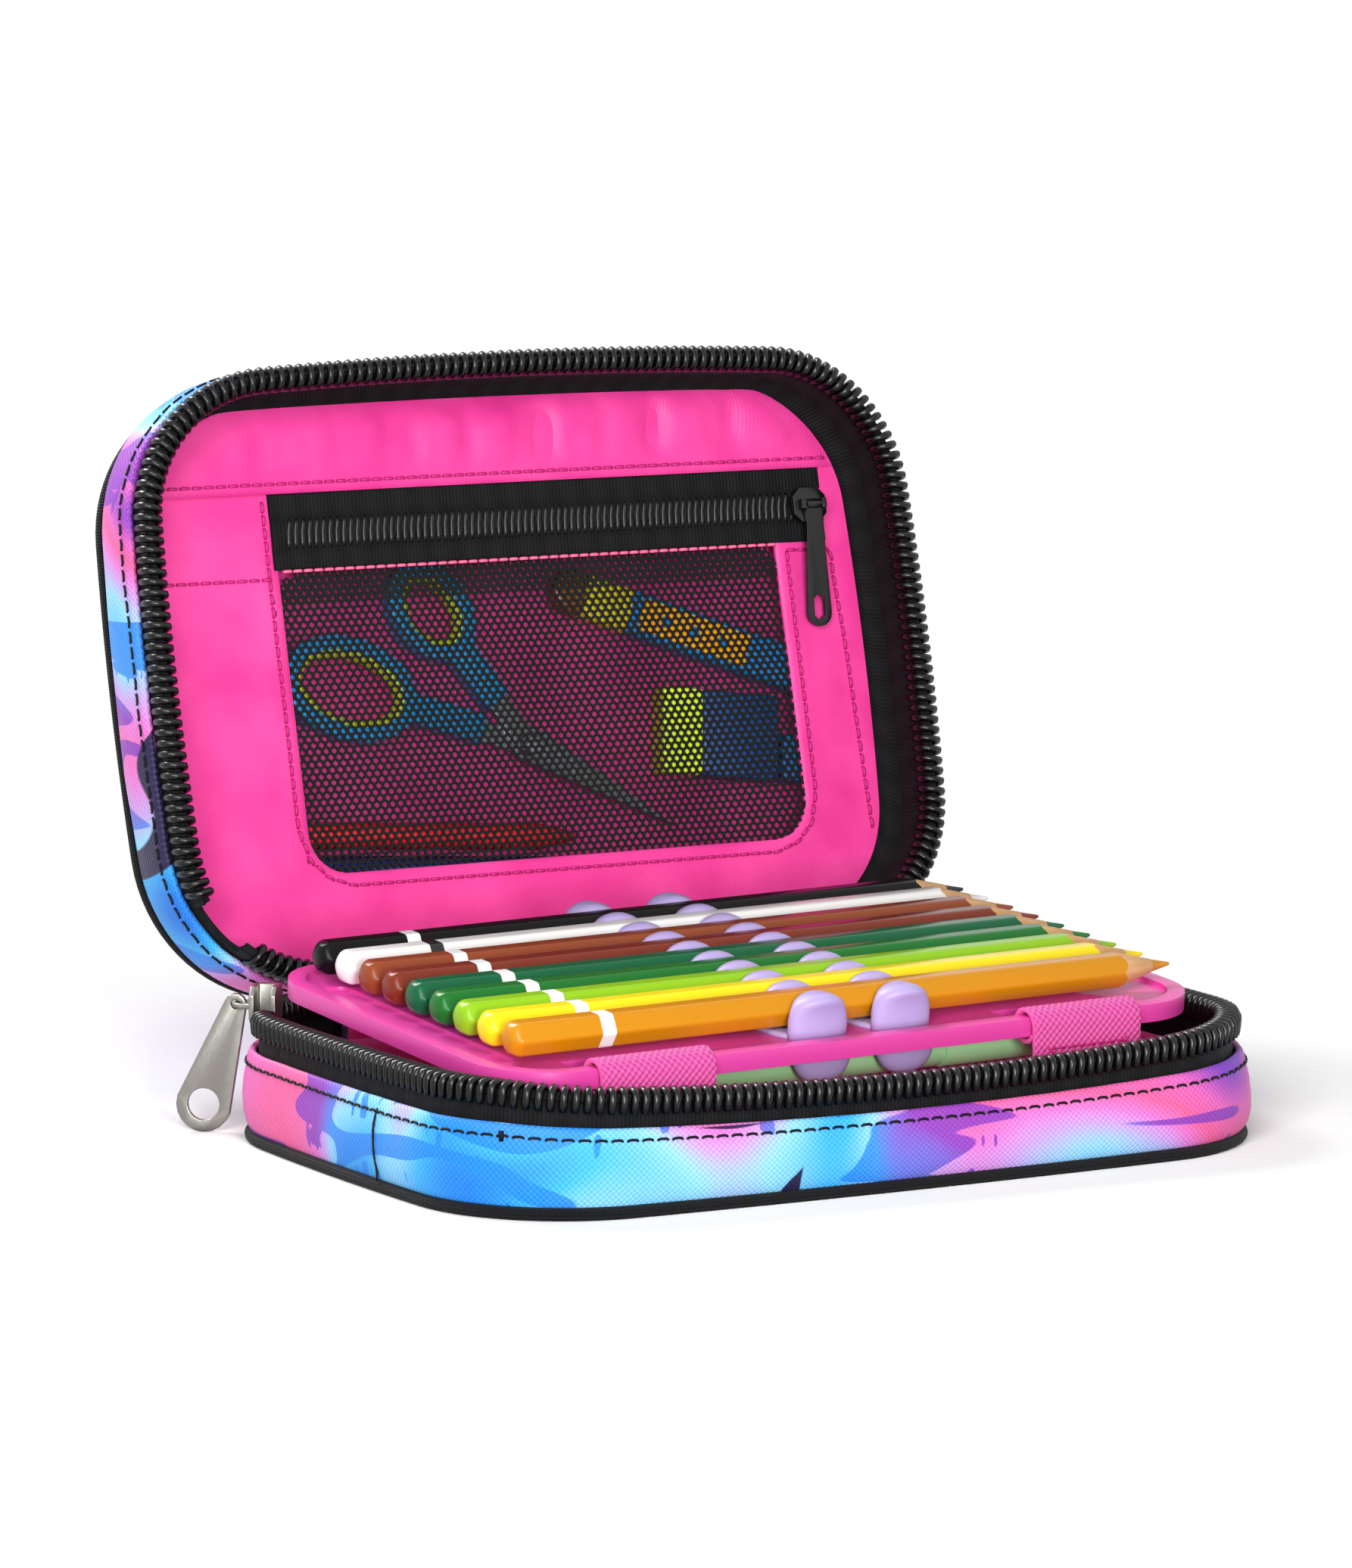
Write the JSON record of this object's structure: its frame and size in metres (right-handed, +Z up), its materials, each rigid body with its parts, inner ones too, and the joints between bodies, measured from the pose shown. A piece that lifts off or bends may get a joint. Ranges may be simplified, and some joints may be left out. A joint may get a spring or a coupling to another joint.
{
  "type": "filled pencil case",
  "caption": "Soft two-part pencil case with a zip, a cloth-hinged lid with a net pocket, and a flip-up tray that holds pencils above and markers below.",
  "frame": {"origin": "centre of the case's underside, on the floor plane, midway between its sides and between its front and back walls", "axes": "+X to the right along the case's long side, +Y to the back where the lid is hinged, +Z up; the lid stands open"},
  "size_m": [0.2154, 0.2105, 0.1705],
  "materials": {
    "printed_cloth": "printed polyester, pastel, satin",
    "pink_lining": "fine nylon twill",
    "black_webbing": "woven tape and piping",
    "black_coil": "glossy nylon",
    "pink_webbing": "coarse webbing",
    "satin_nickel": "satin nickel plating",
    "pink_plastic": "glossy moulding",
    "lilac_silicone": "satin silicone",
    "black_net": "knitted net",
    "black_metal": "semi-gloss paint",
    "steel": "ground steel",
    "cyan_plastic": "glossy moulding",
    "grey_plastic": "smooth",
    "blue_plastic": "smooth",
    "amber_plastic": "smooth",
    "navy_plastic": "smooth",
    "lime_plastic": "smooth",
    "white_rubber": "matte",
    "red_plastic": "smooth",
    "marker_yellow": "smooth",
    "lacquer_orange": "glossy lacquer on wood",
    "lacquer_yellow": "glossy lacquer on wood",
    "lacquer_lime": "glossy lacquer on wood",
    "lacquer_green": "glossy lacquer on wood",
    "lacquer_dark_green": "glossy lacquer on wood",
    "lacquer_chestnut": "glossy lacquer on wood",
    "lacquer_sienna": "glossy lacquer on wood",
    "lacquer_white": "glossy lacquer on wood",
    "lacquer_black": "glossy lacquer on wood",
    "marker_light_green": "smooth",
    "marker_yellow_green": "smooth",
    "marker_turquoise": "smooth",
    "marker_blue": "smooth",
    "marker_violet": "smooth",
    "marker_red": "smooth"
  },
  "bodies": {
    "base": {"base_wall": "printed_cloth", "base_panel": "printed_cloth", "base_lining": "pink_lining", "base_piping": "black_webbing", "base_zip_tape": "black_webbing", "base_zip_teeth": "black_coil", "base_hinge_strip": "pink_lining", "loop_strap_left": "pink_webbing", "loop_strap_right": "pink_webbing", "main_slider": "satin_nickel"},
    "lid": {"lid_wall": "printed_cloth", "lid_panel": "printed_cloth", "lid_lining": "pink_lining", "lid_piping": "black_webbing", "lid_zip_tape": "black_webbing", "lid_zip_teeth": "black_coil", "lid_hinge_strip": "pink_lining", "pocket_panel": "pink_lining", "pocket_zip_tape": "black_webbing", "pocket_zip_coil": "black_coil", "pocket_mesh": "black_net", "scissors_blade_lower": "steel", "scissors_handle_large": "cyan_plastic", "scissors_rivet": "steel", "tool_barrel": "grey_plastic", "tool_band": "blue_plastic", "tool_plate": "amber_plastic", "eraser_block": "navy_plastic", "eraser_block_band": "lime_plastic", "small_eraser": "white_rubber", "small_eraser_sleeve": "blue_plastic", "pen_navy": "navy_plastic", "pen_red": "red_plastic"},
    "tray": {"pencil_plate": "pink_plastic", "gripper_row_left": "lilac_silicone", "gripper_row_right": "lilac_silicone"},
    "scissors_half": {"scissors_blade_upper": "steel", "scissors_handle_small": "cyan_plastic"},
    "pocket_slider": {"pocket_slider": "black_metal"},
    "pocket_pull": {"pocket_pull_tab": "black_metal"},
    "main_pull": {"main_pull_tab": "satin_nickel"},
    "marker_yellow_loose": {"marker_yellow_loose": "marker_yellow"},
    "pencil_orange": {"pencil_orange": "lacquer_orange"},
    "pencil_yellow": {"pencil_yellow": "lacquer_yellow"},
    "pencil_lime": {"pencil_lime": "lacquer_lime"},
    "pencil_green": {"pencil_green": "lacquer_green"},
    "pencil_dark_green": {"pencil_dark_green": "lacquer_dark_green"},
    "pencil_chestnut": {"pencil_chestnut": "lacquer_chestnut"},
    "pencil_sienna": {"pencil_sienna": "lacquer_sienna"},
    "pencil_white": {"pencil_white": "lacquer_white"},
    "pencil_black": {"pencil_black": "lacquer_black"},
    "marker_light_green": {"marker_light_green": "marker_light_green"},
    "marker_yellow_green": {"marker_yellow_green": "marker_yellow_green"},
    "marker_turquoise": {"marker_turquoise": "marker_turquoise"},
    "marker_blue": {"marker_blue": "marker_blue"},
    "marker_violet": {"marker_violet": "marker_violet"},
    "marker_red": {"marker_red": "marker_red"}
  },
  "joints": [
    {"name": "lid_hinge", "type": "hinge", "parent": "base", "child": "lid", "pos_m": [0, 0.073, 0.03], "axis": [-1, 0, 0], "range_deg": [-104, 56]},
    {"name": "tray_flip", "type": "hinge", "parent": "base", "child": "tray", "pos_m": [0, -0.052, 0.0291], "axis": [0.999, 0.0428, 0.0121], "range_deg": [0, 115]},
    {"name": "pencil_orange_slide", "type": "slide", "parent": "tray", "child": "pencil_orange", "axis": [0.999, 0.0428, 0.0121], "range_m": [0, 0.06]},
    {"name": "pencil_yellow_slide", "type": "slide", "parent": "tray", "child": "pencil_yellow", "axis": [0.999, 0.0428, 0.0121], "range_m": [0, 0.06]},
    {"name": "pencil_lime_slide", "type": "slide", "parent": "tray", "child": "pencil_lime", "axis": [0.999, 0.0428, 0.0121], "range_m": [0, 0.06]},
    {"name": "pencil_green_slide", "type": "slide", "parent": "tray", "child": "pencil_green", "axis": [0.999, 0.0428, 0.0121], "range_m": [0, 0.06]},
    {"name": "pencil_dark_green_slide", "type": "slide", "parent": "tray", "child": "pencil_dark_green", "axis": [0.999, 0.0428, 0.0121], "range_m": [0, 0.06]},
    {"name": "pencil_chestnut_slide", "type": "slide", "parent": "tray", "child": "pencil_chestnut", "axis": [0.999, 0.0428, 0.0121], "range_m": [0, 0.06]},
    {"name": "pencil_sienna_slide", "type": "slide", "parent": "tray", "child": "pencil_sienna", "axis": [0.999, 0.0428, 0.0121], "range_m": [0, 0.06]},
    {"name": "pencil_white_slide", "type": "slide", "parent": "tray", "child": "pencil_white", "axis": [0.999, 0.0428, 0.0121], "range_m": [0, 0.06]},
    {"name": "pencil_black_slide", "type": "slide", "parent": "tray", "child": "pencil_black", "axis": [0.999, 0.0428, 0.0121], "range_m": [0, 0.06]},
    {"name": "marker_light_green_slide", "type": "slide", "parent": "tray", "child": "marker_light_green", "axis": [0.999, 0.0428, 0.0121], "range_m": [0, 0.018]},
    {"name": "marker_yellow_green_slide", "type": "slide", "parent": "tray", "child": "marker_yellow_green", "axis": [0.999, 0.0428, 0.0121], "range_m": [0, 0.018]},
    {"name": "marker_turquoise_slide", "type": "slide", "parent": "tray", "child": "marker_turquoise", "axis": [0.999, 0.0428, 0.0121], "range_m": [0, 0.018]},
    {"name": "marker_blue_slide", "type": "slide", "parent": "tray", "child": "marker_blue", "axis": [0.999, 0.0428, 0.0121], "range_m": [0, 0.018]},
    {"name": "marker_violet_slide", "type": "slide", "parent": "tray", "child": "marker_violet", "axis": [0.999, 0.0428, 0.0121], "range_m": [0, 0.018]},
    {"name": "marker_red_slide", "type": "slide", "parent": "tray", "child": "marker_red", "axis": [0.999, 0.0428, 0.0121], "range_m": [0, 0.018]},
    {"name": "loose_marker_roll", "type": "hinge", "parent": "base", "child": "marker_yellow_loose", "pos_m": [-0.04, -0.0602, 0.00675], "axis": [1, 0, 0], "range_deg": [-180, 180]},
    {"name": "main_pull_swing", "type": "hinge", "parent": "base", "child": "main_pull", "pos_m": [-0.09873, 0.06155, 0.0297], "axis": [0.6145, 0.7889, 0], "range_deg": [0, 120]},
    {"name": "pocket_zip_slide", "type": "slide", "parent": "lid", "child": "pocket_slider", "axis": [-1, 0, 0], "range_m": [0, 0.134]},
    {"name": "pocket_pull_swing", "type": "hinge", "parent": "pocket_slider", "child": "pocket_pull", "pos_m": [0.0835, 0.1132, 0.13128], "axis": [-1, 0, 0], "range_deg": [0, 140]},
    {"name": "scissors_open", "type": "hinge", "parent": "lid", "child": "scissors_half", "pos_m": [0.003, 0.11008, 0.07744], "axis": [0, 0.9703, -0.2419], "range_deg": [0, 12]}
  ]
}
